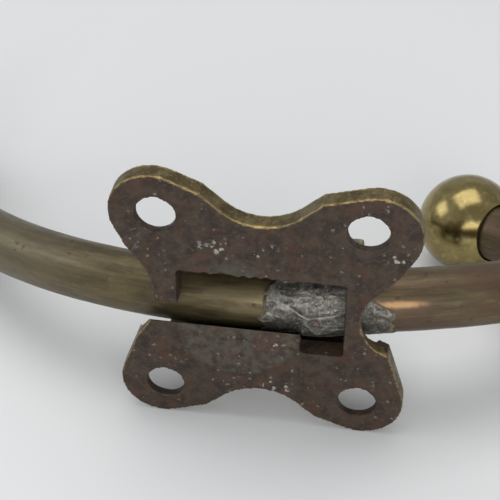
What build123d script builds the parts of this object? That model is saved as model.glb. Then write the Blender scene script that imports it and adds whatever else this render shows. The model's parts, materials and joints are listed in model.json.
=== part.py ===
from build123d import *
from math import cos, degrees, radians, sin
import os

# Casement window stay. A curved round rod slides through a four-eared cast bracket on the
# window frame, a thumbscrew clamps it there, and its far end is pinned to a bracket on the sash.
# Frame: X along the rod at the bracket, Y away from the surface it is screwed to, Z up.
# Origin: centre of the four screw holes, on the bracket's back face. Millimetres and degrees.

# frame bracket: plate
hole_spacing_x = 29.2
hole_spacing_z = 32.0
screw_hole_r = 2.8
screw_hole_wall = 1.3
countersink_r = 4.5
ears = [(-15.2, -15.9, 6.3), (-14.9, 16.0, 6.4), (15.2, -15.9, 6.3), (15.7, 15.5, 6.4)]
plate_t = 3.0
end_cusp = (8.3, 20.1)
end_knee = (5.2, 17.4)
end_waist_z = 15.5
left_cusps = [(-18.5, -6.9), (-19.3, 10.2)]
left_knees = [(-16.6, -4.0), (-16.7, 6.3)]
left_waist = (-15.6, 1.1)
right_cusps = [(18.7, -6.0), (19.7, 9.0)]
right_knees = [(17.0, -5.2), (16.7, 5.3)]
right_waist = (14.4, -0.3)
waist_reach = 8.0

# frame bracket: slot, and the broken strap at its left
slot_half_x = 12.0
slot_top_z = 6.4
slot_lip_z = -3.25
slot_depth = 4.6
lip_slope = 0.9
lip_run = 1.9
notch_from_x = 5.9
notch_z = -7.0
notch_depth = 3.4
tongue_end_z = 0.1

# frame bracket: barrel and its bores
axis_y = 6.8
axis_z = -2.9
cant = 2.5
barrel_left = 15.6
barrel_right = 13.8
bore_r = 6.6
bore_ahead = 1.3
barrel_wall = 2.2
shoulder_top = 11.3
shoulder_low = 10.3
bore_run_out = 3.0
running_gap = 0.05

# arm rod
rod_r = 4.75
droop = 17.8
arc_r = 76.4
left_arc = 44.0
right_arc = 25.8
tail = 20.0
crook_r = 15.0
crook_turn = 112.5
neck = 9.4

# ball finial and its stud
ball_r = 8.5
seat_r = 4.95
seat_gap = 5.6
stud_r = 2.0
stud_tip = 2.0
stud_in_rod = 3.6

# white-metal liner
liner_r = 5.5
liner_skin = 0.5
liner_from = -0.5
liner_true = 14.0
liner_to = 19.0
liner_flare = 2.4

# clamp
clamp_x = -5.0
clamp_slant = 45.0
boss_r = 4.6
boss_end = 12.6
screw_r = 2.0
shank_end = 18.6
pad_r = 3.3
pad_play = 0.25
pad_front = 4.6
pad_face_r = 5.4
pad_back = 7.0
pocket_end = 8.6
spigot_r = 1.2
spigot_tip = 5.9
head_start = 13.6
hub_r = 3.6
hub_len = 1.6
head_end = 19.8
head_r = 5.5
flutes = 10
flute_r = 1.1
head_pin_r = 0.75
head_pin_half = 3.4
head_pin_at = 14.4

# sash end
edge_break = 0.3
eye_r = 6.4
eye_t = 5.0
eye_neck_w = 8.4
socket_r = 6.0
socket_from = 7.4
socket_to = 16.5
seat_from = 9.0
rivet_r = 1.2
rivet_at = 12.6
bush_r = 3.4
pin_r = 2.4
pin_head_r = 4.2
pin_head_t = 0.9
washer_r = 5.2
washer_t = 0.45
side_gap = 0.1
lug_t = 2.1
lug_r = 6.0
base_from = 9.0
base_t = 2.4
base_half = 6.5
base_low = 4.9
base_up = 25.0
base_corner = 2.5
sash_hole_r = 2.2
sash_hole_low = 11.5
sash_hole_high = 20.0

# directions: along the barrel, in toward the room in the arm's plane, and out along the clamp
along = Vector(cos(radians(cant)), 0, sin(radians(cant)))
inward = Vector(
    sin(radians(droop)) * sin(radians(cant)),
    cos(radians(droop)),
    -sin(radians(droop)) * cos(radians(cant)),
)
clamp_out = Vector(
    sin(radians(clamp_slant)) * sin(radians(cant)),
    cos(radians(clamp_slant)),
    -sin(radians(clamp_slant)) * cos(radians(cant)),
)
axis_point = Vector(0, axis_y, axis_z)
arm_plane = Plane(origin=axis_point, x_dir=along, z_dir=along.cross(inward))
barrel_plane = Plane(origin=axis_point, x_dir=(0, 1, 0), z_dir=along)
clamp_plane = Plane(origin=axis_point + along * clamp_x, x_dir=along, z_dir=clamp_out)


def waist_cut(cusps, knees, waist, reach):
    """Face that scoops a waist out of the plate: two straight flanks and a round bottom."""
    with BuildSketch(Plane.XY, mode=Mode.PRIVATE) as cut:
        with BuildLine():
            Line(cusps[0], knees[0])
            ThreePointArc(knees[0], waist, knees[1])
            Line(knees[1], cusps[1])
            far = [(x + reach[0], z + reach[1]) for x, z in cusps]
            Polyline(cusps[1], far[1], far[0], cusps[0])
        make_face()
    return cut.sketch


def heading(angle):
    """Unit direction in the arm's plane at an angle from the barrel's axis."""
    return Vector(cos(radians(angle)), sin(radians(angle)))


def arc_point(angle):
    """Point of the arm's main arc, in the arm's plane, at an angle from the barrel."""
    return Vector(arc_r * sin(radians(angle)), arc_r * (1 - cos(radians(angle))))


def in_space(point):
    """A point of the arm's plane, as a point of the whole part."""
    return arm_plane.from_local_coords(point)


def flat(point):
    """A point of the arm's plane, as its two numbers."""
    return (point.X, point.Y)


def facing(point, direction):
    """Plane square to a direction of the arm's plane, at one of its points."""
    origin = in_space(point)
    return Plane(origin=origin, x_dir=arm_plane.z_dir, z_dir=in_space(point + direction) - origin)


# route of the arm in its own plane: tail, main arc, crook, neck
left_end = arc_point(-left_arc)
tail_dir = heading(-left_arc) * -1
pivot = left_end + tail_dir * tail
crook_start = arc_point(right_arc)
crook_centre = crook_start + heading(right_arc + 90) * crook_r
neck_dir = heading(right_arc + crook_turn)
crook_end = crook_centre + heading(right_arc + crook_turn - 90) * crook_r
ball_centre = crook_end + neck_dir * neck

pivot_axis = Axis(in_space(pivot), arm_plane.z_dir)
ball_plane = facing(ball_centre, neck_dir * -1)
socket_plane = facing(pivot, tail_dir * -1)
socket_axis = Axis(socket_plane.origin, socket_plane.z_dir)
eye_plane = Plane(origin=in_space(pivot), x_dir=socket_plane.z_dir, z_dir=arm_plane.z_dir)
lug_plane = Plane(origin=in_space(pivot), x_dir=along, z_dir=arm_plane.z_dir)
base_plane = Plane(origin=in_space(pivot), x_dir=along, z_dir=inward)

# ---- frame bracket: plate, barrel and clamp boss, one casting ----
signs = [(sx, sz) for sx in (-1, 1) for sz in (-1, 1)]
end_cusps = [(sx * end_cusp[0], sz * end_cusp[1]) for sx, sz in signs]
side_cusps = left_cusps + right_cusps
left_waist_x = -left_waist[0]
waists = [
    (left_cusps, left_knees, left_waist, (-waist_reach, 0)),
    (right_cusps, right_knees, right_waist, (waist_reach, 0)),
]
for sz in (-1, 1):
    pair = [(sx * end_cusp[0], sz * end_cusp[1]) for sx in (-1, 1)]
    knees = [(sx * end_knee[0], sz * end_knee[1]) for sx in (-1, 1)]
    waists.append((pair, knees, (0, sz * end_waist_z), (0, sz * waist_reach)))
barrel_r = bore_r + barrel_wall
barrel_len = barrel_left + barrel_right
slope_low_z = slot_lip_z - lip_slope * lip_run

with BuildPart() as frame_bracket:
    with BuildSketch(Plane.XZ):
        for (ear_x, ear_z, ear_r), on_end, on_side in zip(ears, end_cusps, side_cusps):
            with BuildSketch(Plane.XY, mode=Mode.PRIVATE) as quarter:
                with Locations((ear_x, ear_z)):
                    Circle(ear_r)
                Polygon((0, 0), on_end, on_side, align=None)
                make_hull()
            add(quarter.sketch)
        Polygon(*left_cusps, *reversed(right_cusps), align=None)
        Rectangle(2 * end_cusp[0], 2 * end_cusp[1])
        for waist_shape in waists:
            add(waist_cut(*waist_shape), mode=Mode.SUBTRACT)
    extrude(amount=-plate_t)
    # barrel, with shoulders that close the front of the slot
    with BuildSketch(barrel_plane.offset(-barrel_left)):
        with Locations((bore_ahead, 0)):
            Circle(barrel_r)
        Polygon(
            (1.0 - axis_y, shoulder_top),
            (plate_t + 1.0 - axis_y, shoulder_top),
            (bore_ahead, barrel_r),
            (bore_ahead, -barrel_r),
            (plate_t + 1.0 - axis_y, -shoulder_low),
            (1.0 - axis_y, -shoulder_low),
            align=None,
        )
    extrude(amount=barrel_len)
    # boss for the thumbscrew, on the front and slanting down
    with BuildSketch(clamp_plane.offset(bore_r)):
        Circle(boss_r)
    extrude(amount=boss_end - bore_r)
    # the back is one flat face
    with BuildSketch(Plane.XZ):
        Rectangle(4 * hole_spacing_x, 4 * hole_spacing_z)
    extrude(amount=barrel_r, mode=Mode.SUBTRACT)
    # bore: a loose hole for the curved rod, and a true one behind it for the liner
    with BuildSketch(barrel_plane.offset(-barrel_left - bore_run_out)):
        with Locations((bore_ahead, 0)):
            Circle(bore_r)
        Circle(liner_r + running_gap)
    extrude(amount=barrel_len + 2 * bore_run_out, mode=Mode.SUBTRACT)
    # slot, its lower edge sloping in, and the deeper notch at its right end
    with BuildSketch(Plane.YZ.offset(-slot_half_x)):
        Polygon(
            (-1, slot_top_z),
            (slot_depth, slot_top_z),
            (slot_depth, slope_low_z),
            (lip_run, slope_low_z),
            (0, slot_lip_z),
            (-1, slot_lip_z),
            align=None,
        )
    extrude(amount=2 * slot_half_x, mode=Mode.SUBTRACT)
    with BuildSketch(Plane.XZ):
        with Locations((notch_from_x, notch_z)):
            Rectangle(slot_half_x - notch_from_x, -notch_z, align=(Align.MIN, Align.MIN))
    extrude(amount=-notch_depth, mode=Mode.SUBTRACT)
    # the strap at the slot's left is broken through below its tongue
    with BuildSketch(Plane.YZ.offset(-left_waist_x - bore_run_out)):
        Polygon(
            (-1, tongue_end_z),
            (plate_t, tongue_end_z),
            (plate_t, slope_low_z),
            (lip_run, slope_low_z),
            (0, slot_lip_z),
            (-1, slot_lip_z),
            align=None,
        )
    extrude(amount=left_waist_x + bore_run_out - slot_half_x + 0.1, mode=Mode.SUBTRACT)
    # screw holes, then the pad's pocket and the thumbscrew's hole
    with BuildSketch(Plane.XZ):
        with GridLocations(hole_spacing_x, hole_spacing_z, 2, 2):
            Circle(screw_hole_r)
    extrude(amount=-plate_t, mode=Mode.SUBTRACT)
    half_x, half_z = hole_spacing_x / 2, hole_spacing_z / 2
    with Locations(*[(sx * half_x, plate_t, sz * half_z) for sx, sz in signs]):
        Cone(
            countersink_r,
            screw_hole_r,
            plate_t - screw_hole_wall,
            rotation=(90, 0, 0),
            align=(Align.CENTER, Align.CENTER, Align.MIN),
            mode=Mode.SUBTRACT,
        )
    with BuildSketch(clamp_plane.offset(liner_r)):
        Circle(pad_r + pad_play)
    extrude(amount=pocket_end - liner_r, mode=Mode.SUBTRACT)
    with BuildSketch(clamp_plane.offset(liner_r)):
        Circle(screw_r + running_gap)
    extrude(amount=boss_end - liner_r, mode=Mode.SUBTRACT)

# ---- arm rod: tail, main arc, crook and neck, one bent bar ----
with BuildPart() as arm_rod:
    with BuildLine(arm_plane) as arm_path:
        Line(flat(pivot - tail_dir * seat_from), flat(left_end))
        CenterArc((0, arc_r), arc_r, -90 - left_arc, left_arc + right_arc)
        CenterArc(flat(crook_centre), crook_r, right_arc - 90, crook_turn)
        Line(flat(crook_end), flat(crook_end + neck_dir * (neck - seat_gap)))
    with BuildSketch(Plane(origin=arm_path.line @ 0, z_dir=arm_path.line % 0)):
        Circle(rod_r)
    sweep(path=arm_path.line)
    with BuildSketch(ball_plane.offset(seat_gap)):
        Circle(stud_r)
    extrude(amount=stud_in_rod, mode=Mode.SUBTRACT)
    with BuildSketch(eye_plane):
        with Locations((rivet_at, 0)):
            Circle(rivet_r)
    extrude(amount=socket_r, both=True, mode=Mode.SUBTRACT)

# ---- white-metal liner: a half shell behind the rod, which rolls in the true bore ----
liner_start = degrees(liner_from / arc_r)
liner_sweep = degrees((liner_to - liner_from) / arc_r)
centre = in_space(Vector(0, arc_r))
to_start = in_space(arc_point(liner_start)) - centre
with BuildPart() as liner_shoe:
    with BuildSketch(barrel_plane.offset(liner_from)):
        Circle(liner_r)
    extrude(amount=liner_true - liner_from)
    with Locations(Plane(origin=centre, x_dir=to_start, z_dir=arm_plane.z_dir)):
        Torus(arc_r, rod_r + liner_skin, major_angle=liner_sweep, align=None)
    # the side toward the room is left open
    with BuildSketch(arm_plane):
        Polygon(
            (liner_from - 1, 0),
            (liner_true, 0),
            (liner_to + 1, liner_flare),
            (liner_to + 1, 2 * liner_r + liner_flare),
            (liner_from - 1, 2 * liner_r + liner_flare),
            align=None,
        )
    extrude(amount=2 * liner_r, both=True, mode=Mode.SUBTRACT)
    with Locations(Plane(origin=centre, x_dir=to_start, z_dir=arm_plane.z_dir)):
        Torus(arc_r, rod_r + running_gap, mode=Mode.SUBTRACT)

# ---- clamp: pad, screw, fluted thumb head and its cross pin ----
head_pin_plane = Plane(
    origin=clamp_plane.origin + clamp_out * head_pin_at, x_dir=clamp_out, z_dir=along
)
with BuildPart() as clamp_pad:
    with BuildSketch(clamp_plane.offset(pad_front)):
        Circle(pad_r)
    extrude(amount=pad_back - pad_front)
    with BuildSketch(barrel_plane.offset(clamp_x)):
        Circle(pad_face_r)
    extrude(amount=2 * pad_r, both=True, mode=Mode.SUBTRACT)
    with BuildSketch(clamp_plane.offset(spigot_tip)):
        Circle(spigot_r + running_gap)
    extrude(amount=pad_back - spigot_tip, mode=Mode.SUBTRACT)

with BuildPart() as clamp_screw:
    with BuildSketch(clamp_plane.offset(spigot_tip + running_gap)):
        Circle(spigot_r)
    extrude(amount=pad_back - spigot_tip)
    with BuildSketch(clamp_plane.offset(pad_back + running_gap)):
        Circle(screw_r)
    extrude(amount=shank_end - pad_back - running_gap)
    with BuildSketch(head_pin_plane):
        Circle(head_pin_r)
    extrude(amount=screw_r, both=True, mode=Mode.SUBTRACT)

with BuildPart() as thumb_head:
    with BuildSketch(clamp_plane.offset(head_start)):
        Circle(hub_r)
    extrude(amount=hub_len)
    with BuildSketch(clamp_plane.offset(head_start + hub_len)):
        Circle(head_r)
        with PolarLocations(head_r + flute_r / 2, flutes):
            Circle(flute_r, mode=Mode.SUBTRACT)
    extrude(amount=head_end - head_start - hub_len)
    with BuildSketch(clamp_plane.offset(head_start)):
        Circle(screw_r)
    extrude(amount=shank_end - head_start, mode=Mode.SUBTRACT)
    with BuildSketch(head_pin_plane):
        Circle(head_pin_r)
    extrude(amount=head_r, both=True, mode=Mode.SUBTRACT)

with BuildPart() as head_pin:
    with BuildSketch(head_pin_plane):
        Circle(head_pin_r)
    extrude(amount=head_pin_half, both=True)

# ---- ball finial, and the stud that holds it on the neck ----
with BuildPart(ball_plane) as ball_finial:
    Sphere(ball_r)
    with BuildSketch(ball_plane.offset(seat_gap)):
        Circle(seat_r)
    extrude(amount=ball_r, mode=Mode.SUBTRACT)
    with BuildSketch(ball_plane.offset(stud_tip)):
        Circle(stud_r)
    extrude(amount=seat_gap - stud_tip, mode=Mode.SUBTRACT)

with BuildPart() as finial_stud:
    with BuildSketch(ball_plane.offset(stud_tip)):
        Circle(stud_r)
    extrude(amount=seat_gap + stud_in_rod - stud_tip)

# ---- eye on the arm's tail, its rivet and its bush ----
with BuildPart() as eye_end:
    with BuildSketch(eye_plane):
        Circle(eye_r)
        Rectangle(socket_from + 1, eye_neck_w, align=(Align.MIN, Align.CENTER))
    extrude(amount=eye_t / 2, both=True)
    with BuildSketch(socket_plane.offset(socket_from)):
        Circle(socket_r)
    extrude(amount=socket_to - socket_from)
    chamfer(eye_end.faces().sort_by(socket_axis)[-1].edges(), edge_break)
    with BuildSketch(socket_plane.offset(seat_from)):
        Circle(rod_r)
    extrude(amount=socket_to - seat_from, mode=Mode.SUBTRACT)
    with BuildSketch(eye_plane):
        Circle(bush_r)
        with Locations((rivet_at, 0)):
            Circle(rivet_r)
    extrude(amount=socket_r, both=True, mode=Mode.SUBTRACT)

with BuildPart() as eye_rivet:
    with BuildSketch(eye_plane):
        with Locations((rivet_at, 0)):
            Circle(rivet_r)
    extrude(amount=socket_r, both=True)

with BuildPart() as eye_bush:
    with BuildSketch(eye_plane):
        Circle(bush_r)
        Circle(pin_r + running_gap, mode=Mode.SUBTRACT)
    extrude(amount=eye_t / 2, both=True)

# ---- sash bracket: two lugs on an upright plate; washers, pivot pin and its riveting washer ----
washer_z = eye_t / 2 + side_gap
lug_z = washer_z + washer_t
pin_z = lug_z + lug_t
with BuildPart() as sash_bracket:
    for side in (-1, 1):
        with BuildSketch(lug_plane.offset(side * lug_z)):
            Circle(lug_r)
            Rectangle(2 * lug_r, base_from + base_t, align=(Align.CENTER, Align.MIN))
        extrude(amount=side * lug_t)
    with BuildSketch(base_plane.offset(base_from)):
        with Locations((0, -(base_up - base_low) / 2)):
            RectangleRounded(2 * base_half, base_up + base_low, base_corner)
    extrude(amount=base_t)
    with BuildSketch(base_plane.offset(base_from)):
        with Locations((0, -sash_hole_low), (0, -sash_hole_high)):
            Circle(sash_hole_r)
    extrude(amount=base_t, mode=Mode.SUBTRACT)
    with BuildSketch(lug_plane):
        Circle(pin_r)
    extrude(amount=pin_z, both=True, mode=Mode.SUBTRACT)

with BuildPart() as pivot_pin:
    with BuildSketch(lug_plane.offset(-pin_z)):
        Circle(pin_r)
    extrude(amount=2 * pin_z + pin_head_t)
    with BuildSketch(lug_plane.offset(pin_z)):
        Circle(pin_head_r)
    extrude(amount=pin_head_t)
    chamfer(pivot_pin.faces().sort_by(pivot_axis)[-1].edges(), edge_break)

with BuildPart() as rivet_washer:
    with BuildSketch(lug_plane.offset(-pin_z)):
        Circle(pin_head_r)
        Circle(pin_r, mode=Mode.SUBTRACT)
    extrude(amount=-pin_head_t / 2)


def thrust_washer(side):
    """Thin washer between the eye and one lug."""
    with BuildPart() as washer:
        with BuildSketch(lug_plane.offset(side * washer_z)):
            Circle(washer_r)
            Circle(pin_r, mode=Mode.SUBTRACT)
        extrude(amount=side * washer_t)
    return washer


upper_washer = thrust_washer(1)
lower_washer = thrust_washer(-1)

# ---- write every piece under its own name ----
pieces = {
    "frame_bracket": frame_bracket,
    "liner_shoe": liner_shoe,
    "clamp_pad": clamp_pad,
    "clamp_screw": clamp_screw,
    "thumb_head": thumb_head,
    "head_pin": head_pin,
    "arm_rod": arm_rod,
    "ball_finial": ball_finial,
    "finial_stud": finial_stud,
    "eye_end": eye_end,
    "eye_rivet": eye_rivet,
    "eye_bush": eye_bush,
    "sash_bracket": sash_bracket,
    "pivot_pin": pivot_pin,
    "rivet_washer": rivet_washer,
    "upper_washer": upper_washer,
    "lower_washer": lower_washer,
}
os.makedirs("parts", exist_ok=True)
for name, piece in pieces.items():
    piece.part.label = name
    export_step(piece.part, f"parts/{name}.step")

# places and directions that joints and mounts use, in metres
places = {
    "along": along,
    "up_from_arm": arm_plane.z_dir,
    "clamp_out": clamp_out,
    "inward": inward,
    "axis_point": axis_point / 1000,
    "arc_centre": centre / 1000,
    "pivot": in_space(pivot) / 1000,
    "clamp": (clamp_plane.origin + clamp_out * head_pin_at) / 1000,
    "sash_face": (base_plane.origin + inward * (base_from + base_t)) / 1000,
    "ball": ball_plane.origin / 1000,
}
for name, place in places.items():
    print(name, [round(value, 6) for value in place])
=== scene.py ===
import json
from math import cos, pi, radians, sin

import bmesh
import bpy
import numpy as np
from mathutils import Matrix, Vector


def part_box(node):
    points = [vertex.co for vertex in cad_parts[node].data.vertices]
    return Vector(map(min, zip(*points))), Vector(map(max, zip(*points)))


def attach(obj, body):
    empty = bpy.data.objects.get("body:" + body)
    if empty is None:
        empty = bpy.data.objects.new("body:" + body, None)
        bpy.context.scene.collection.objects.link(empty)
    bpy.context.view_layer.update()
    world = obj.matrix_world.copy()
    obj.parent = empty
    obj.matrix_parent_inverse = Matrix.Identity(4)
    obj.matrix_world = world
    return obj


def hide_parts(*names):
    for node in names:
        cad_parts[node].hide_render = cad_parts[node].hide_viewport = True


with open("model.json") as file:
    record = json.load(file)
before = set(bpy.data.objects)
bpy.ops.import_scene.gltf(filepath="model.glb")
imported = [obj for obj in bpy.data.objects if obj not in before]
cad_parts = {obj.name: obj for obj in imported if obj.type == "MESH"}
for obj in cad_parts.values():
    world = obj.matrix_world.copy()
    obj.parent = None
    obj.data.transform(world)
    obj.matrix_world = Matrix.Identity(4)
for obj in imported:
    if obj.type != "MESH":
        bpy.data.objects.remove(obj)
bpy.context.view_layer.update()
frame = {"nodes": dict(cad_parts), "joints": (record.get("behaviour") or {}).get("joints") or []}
mm = 0.001
joints = {joint["name"]: joint for joint in frame["joints"]}
print("frame loaded:", len(frame["nodes"]), "nodes")


cameraSettings = {
    "place": (18.63, -126.86, 115.22),  # mm
    "down": 38.93,  # degrees below level
    "turn": 8.99,  # degrees to the left of straight on
    "roll": -0.25,
    "lens": 86.71,
}
cameraData = bpy.data.cameras.new("viewCamera")
cameraData.lens = cameraSettings["lens"]
cameraData.sensor_width = 36
cameraData.clip_start = 0.005
camera = bpy.data.objects.new("viewCamera", cameraData)
bpy.context.scene.collection.objects.link(camera)
camera.matrix_world = (
    Matrix.Translation(Vector(cameraSettings["place"]) * mm)
    @ Matrix.Rotation(radians(cameraSettings["turn"]), 4, "Z")
    @ Matrix.Rotation(radians(90 - cameraSettings["down"]), 4, "X")
    @ Matrix.Rotation(radians(cameraSettings["roll"]), 4, "Z")
)
bpy.context.scene.camera = camera

lightSettings = {
    "sky": ((0.96, 0.98, 1.0), 0.50),
    "boxes": [
        # name, place, aimed at, width, height in mm, watts, colour
        ("overheadBox", (-60, 150, 620), (0, 20, 0), 560, 460, 1.9, (1.0, 0.985, 0.96)),
        ("leftBox", (-620, 60, 330), (0, 20, 0), 380, 300, 0.8, (0.97, 0.985, 1.0)),
        ("frontBox", (120, -640, 270), (0, 0, 0), 620, 420, 2.7, (1.0, 0.985, 0.96)),
    ],
}


def aimed(place, target):
    # turn that points local -Z from place to target
    return (Vector(target) - Vector(place)).to_track_quat("-Z", "Y").to_matrix().to_4x4()


for name, place, target, width, height, power, colour in lightSettings["boxes"]:
    lamp = bpy.data.lights.new(name, "AREA")
    lamp.shape = "RECTANGLE"
    lamp.size, lamp.size_y = width * mm, height * mm
    lamp.energy, lamp.color = power, colour
    lampObject = bpy.data.objects.new(name, lamp)
    lampObject.matrix_world = Matrix.Translation(Vector(place) * mm) @ aimed(place, target)
    bpy.context.scene.collection.objects.link(lampObject)

world = bpy.data.worlds.new("studio")
world.use_nodes = True
skyColour, skyStrength = lightSettings["sky"]
world.node_tree.nodes["Background"].inputs["Color"].default_value = (*skyColour, 1)
world.node_tree.nodes["Background"].inputs["Strength"].default_value = skyStrength
bpy.context.scene.world = world
bpy.context.scene.view_settings.view_transform = "Standard"
print("camera and lights placed")


def unit(vector):
    vector = np.asarray(vector, float)
    return vector / np.linalg.norm(vector)


def lumps(points, size, seed):
    # smooth lattice noise, 0 to 1: a scrambled value at each corner of a cubic lattice,
    # blended across the cell by 3t^2 - 2t^3 along each side
    scaled = points / size
    cell = np.floor(scaled).astype(np.int64)
    t = scaled - cell
    t = t * t * (3 - 2 * t)
    total = np.zeros(len(points))
    for corner in np.ndindex(2, 2, 2):
        c = cell + np.array(corner)
        mixed = (c[:, 0] * 73856093) ^ (c[:, 1] * 19349663) ^ (c[:, 2] * 83492791) ^ (seed * 2654435)
        mixed = ((mixed ^ (mixed >> 13)) * 1274126177) & 0x7FFFFFFF
        mixed = ((mixed ^ (mixed >> 11)) * 668265263) & 0x7FFFFFFF
        weight = np.prod(np.where(np.array(corner) == 1, t, 1 - t), axis=1)
        total += weight * (mixed % 65537) / 65536
    return total


def roughSum(points, size, seed, layers=3):
    # lattice noise added over halved sizes and halved weights, 0 to 1
    total, weight = 0, 0
    for layer in range(layers):
        total = total + lumps(points, size / 2**layer, seed + layer) / 2**layer
        weight += 1 / 2**layer
    return total / weight


def smoothStep(low, high, value):
    t = np.clip((value - low) / (high - low), 0, 1)
    return t * t * (3 - 2 * t)


def meshObject(name, mesh):
    piece = bpy.data.objects.new(name, mesh)
    bpy.context.scene.collection.objects.link(piece)
    mesh.polygons.foreach_set("use_smooth", np.full(len(mesh.polygons), True))
    mesh.update()
    return piece


def meshFromArrays(name, points, quads, triangles=None):
    # whole vertex and face arrays into one mesh, turned outward by the sign of its volume
    faces = [quads.reshape(-1, 4)] + ([] if triangles is None else [triangles.reshape(-1, 3)])
    corners = np.concatenate([f.ravel() for f in faces])
    counts = np.concatenate([np.full(len(f), f.shape[1]) for f in faces])
    starts = np.concatenate([[0], np.cumsum(counts)[:-1]])
    a = points[corners[starts]]
    b = points[corners[starts + 1]]
    c = points[corners[starts + 2]]
    last = points[corners[starts + counts - 1]]
    volume = np.sum(a * np.cross(b, c)) + np.sum((a * np.cross(c, last))[counts == 4])
    mesh = bpy.data.meshes.new(name)
    mesh.vertices.add(len(points))
    mesh.vertices.foreach_set("co", (points * mm).astype(np.float32).ravel())
    mesh.loops.add(len(corners))
    if volume < 0:
        for f in faces:
            f[:] = f[:, ::-1].copy()
        corners = np.concatenate([f.ravel() for f in faces])
    mesh.loops.foreach_set("vertex_index", corners.astype(np.int32))
    mesh.polygons.add(len(counts))
    mesh.polygons.foreach_set("loop_start", starts.astype(np.int32))
    mesh.update(calc_edges=True)
    mesh.validate()
    return mesh


def closedTube(name, rings):
    # rings is (along, around, 3), mm; the ends close on their own middle points
    n, m = rings.shape[:2]
    i, j = np.meshgrid(np.arange(n - 1), np.arange(m), indexing="ij")
    k = (j + 1) % m
    quads = np.stack([i * m + j, i * m + k, (i + 1) * m + k, (i + 1) * m + j], -1)
    points = np.concatenate([rings.reshape(-1, 3), [rings[0].mean(0)], [rings[-1].mean(0)]])
    j = np.arange(m)
    k = (j + 1) % m
    first = np.stack([np.full(m, n * m), k, j], -1)
    final = np.stack([np.full(m, n * m + 1), (n - 1) * m + j, (n - 1) * m + k], -1)
    return meshFromArrays(name, points, quads, np.concatenate([first, final]))


def turned(name, start, axis, profile, around, dress):
    # profile rows are (along the axis, radius) in mm, carried round the axis, their radius changed by dress
    axis = unit(axis)
    side = unit(np.cross(axis, [0.3, 0.2, 1.0]))
    third = np.cross(axis, side)
    angle = np.linspace(0, 2 * pi, around, endpoint=False)
    along, radius = np.asarray(profile, float).T
    radius = dress(along[:, None], angle[None, :], np.repeat(radius[:, None], around, 1))
    ring = np.cos(angle)[:, None] * side + np.sin(angle)[:, None] * third
    rings = np.asarray(start) + along[:, None, None] * axis + radius[..., None] * ring[None]
    return closedTube(name, rings)


def storeScalar(mesh, name, values):
    mesh.attributes.new(name, "FLOAT", "POINT").data.foreach_set("value", values.astype(np.float32))


def storeVector(mesh, name, values):
    data = mesh.attributes.new(name, "FLOAT_VECTOR", "POINT").data
    data.foreach_set("vector", values.astype(np.float32).ravel())


easeSettings = {
    "mergeBelow": 0.002,  # mm
    "steps": [0.6, -0.62],  # shrink, then swell back by nearly as much
    "wideRounds": 8,
    "wideShare": 0.8,
    "edgeReach": 1.1,  # voxels of bulge that count as a full edge
}


def castCopy(node, name, voxel, passes, relief):
    # merged copy of a CAD node, voxel remeshed, eased at its edges, then sunk by relief(points, normals)
    s = easeSettings
    copy = frame["nodes"][node].data.copy()
    work = bmesh.new()
    work.from_mesh(copy)
    bmesh.ops.remove_doubles(work, verts=work.verts, dist=s["mergeBelow"] * mm)
    work.to_mesh(copy)
    work.free()
    piece = meshObject(name, copy)
    remesh = piece.modifiers.new("voxels", "REMESH")
    remesh.mode = "VOXEL"
    remesh.voxel_size = voxel * mm
    remesh.use_smooth_shade = True
    settled = bpy.context.evaluated_depsgraph_get()
    mesh = bpy.data.meshes.new_from_object(piece.evaluated_get(settled))
    piece.modifiers.clear()
    piece.data = mesh
    mesh.name = name
    mesh.materials.clear()
    points, edges = readPoints(mesh), readEdges(mesh)
    for strength in s["steps"] * passes:
        points = points + strength * (neighbourMean(points, edges) - points)
    writePoints(mesh, points)
    normals = readNormals(mesh)
    wide = points
    for _ in range(s["wideRounds"]):
        wide = wide + s["wideShare"] * (neighbourMean(wide, edges) - wide)
    bulge = np.sum((points - wide) * normals, axis=1)
    storeScalar(mesh, "edge", np.clip(0.5 + bulge / (s["edgeReach"] * voxel), 0, 1))
    low, high = (np.array(corner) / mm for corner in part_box(node))
    writePoints(mesh, np.clip(points + relief(points, normals), low, high))  # stays inside the CAD node's box
    return piece


def readPoints(mesh):
    co = np.empty(len(mesh.vertices) * 3, np.float32)
    mesh.vertices.foreach_get("co", co)
    return co.reshape(-1, 3).astype(float) / mm


def readNormals(mesh):
    normals = np.empty(len(mesh.vertices) * 3, np.float32)
    mesh.vertices.foreach_get("normal", normals)
    return normals.reshape(-1, 3).astype(float)


def readEdges(mesh):
    pairs = np.empty(len(mesh.edges) * 2, np.int32)
    mesh.edges.foreach_get("vertices", pairs)
    return pairs.reshape(-1, 2)


def writePoints(mesh, points):
    mesh.vertices.foreach_set("co", (points * mm).astype(np.float32).ravel())
    mesh.update()


def neighbourMean(points, edges):
    # mean of each point's neighbours along the edges
    a, b = edges[:, 0], edges[:, 1]
    count = np.bincount(np.concatenate([a, b]), minlength=len(points))
    sums = [np.bincount(np.concatenate([a, b]), np.concatenate([points[b, k], points[a, k]]), len(points))
            for k in range(points.shape[1])]
    return np.stack(sums, 1) / np.maximum(count, 1)[:, None]


def put(tree, kind, sockets=None, **settings):
    made = tree.nodes.new(kind)
    for key, value in settings.items():
        setattr(made, key, value)
    for key, value in (sockets or {}).items():
        if isinstance(value, bpy.types.NodeSocket):
            tree.links.new(value, made.inputs[key])
        else:
            made.inputs[key].default_value = value
    return made


def maths(tree, operation, a, b=0.0):
    return put(tree, "ShaderNodeMath", {0: a, 1: b}, operation=operation).outputs[0]


def vectorMaths(tree, operation, a, b):
    key = "Scale" if operation == "SCALE" else 1
    return put(tree, "ShaderNodeVectorMath", {0: a, key: b}, operation=operation).outputs[0]


def spread(tree, value, low, high, to=(0.0, 1.0)):
    # eases value from low..high into to[0]..to[1]
    made = put(tree, "ShaderNodeMapRange",
               {"Value": value, "From Min": low, "From Max": high, "To Min": to[0], "To Max": to[1]},
               interpolation_type="SMOOTHSTEP")
    return made.outputs["Result"]


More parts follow.
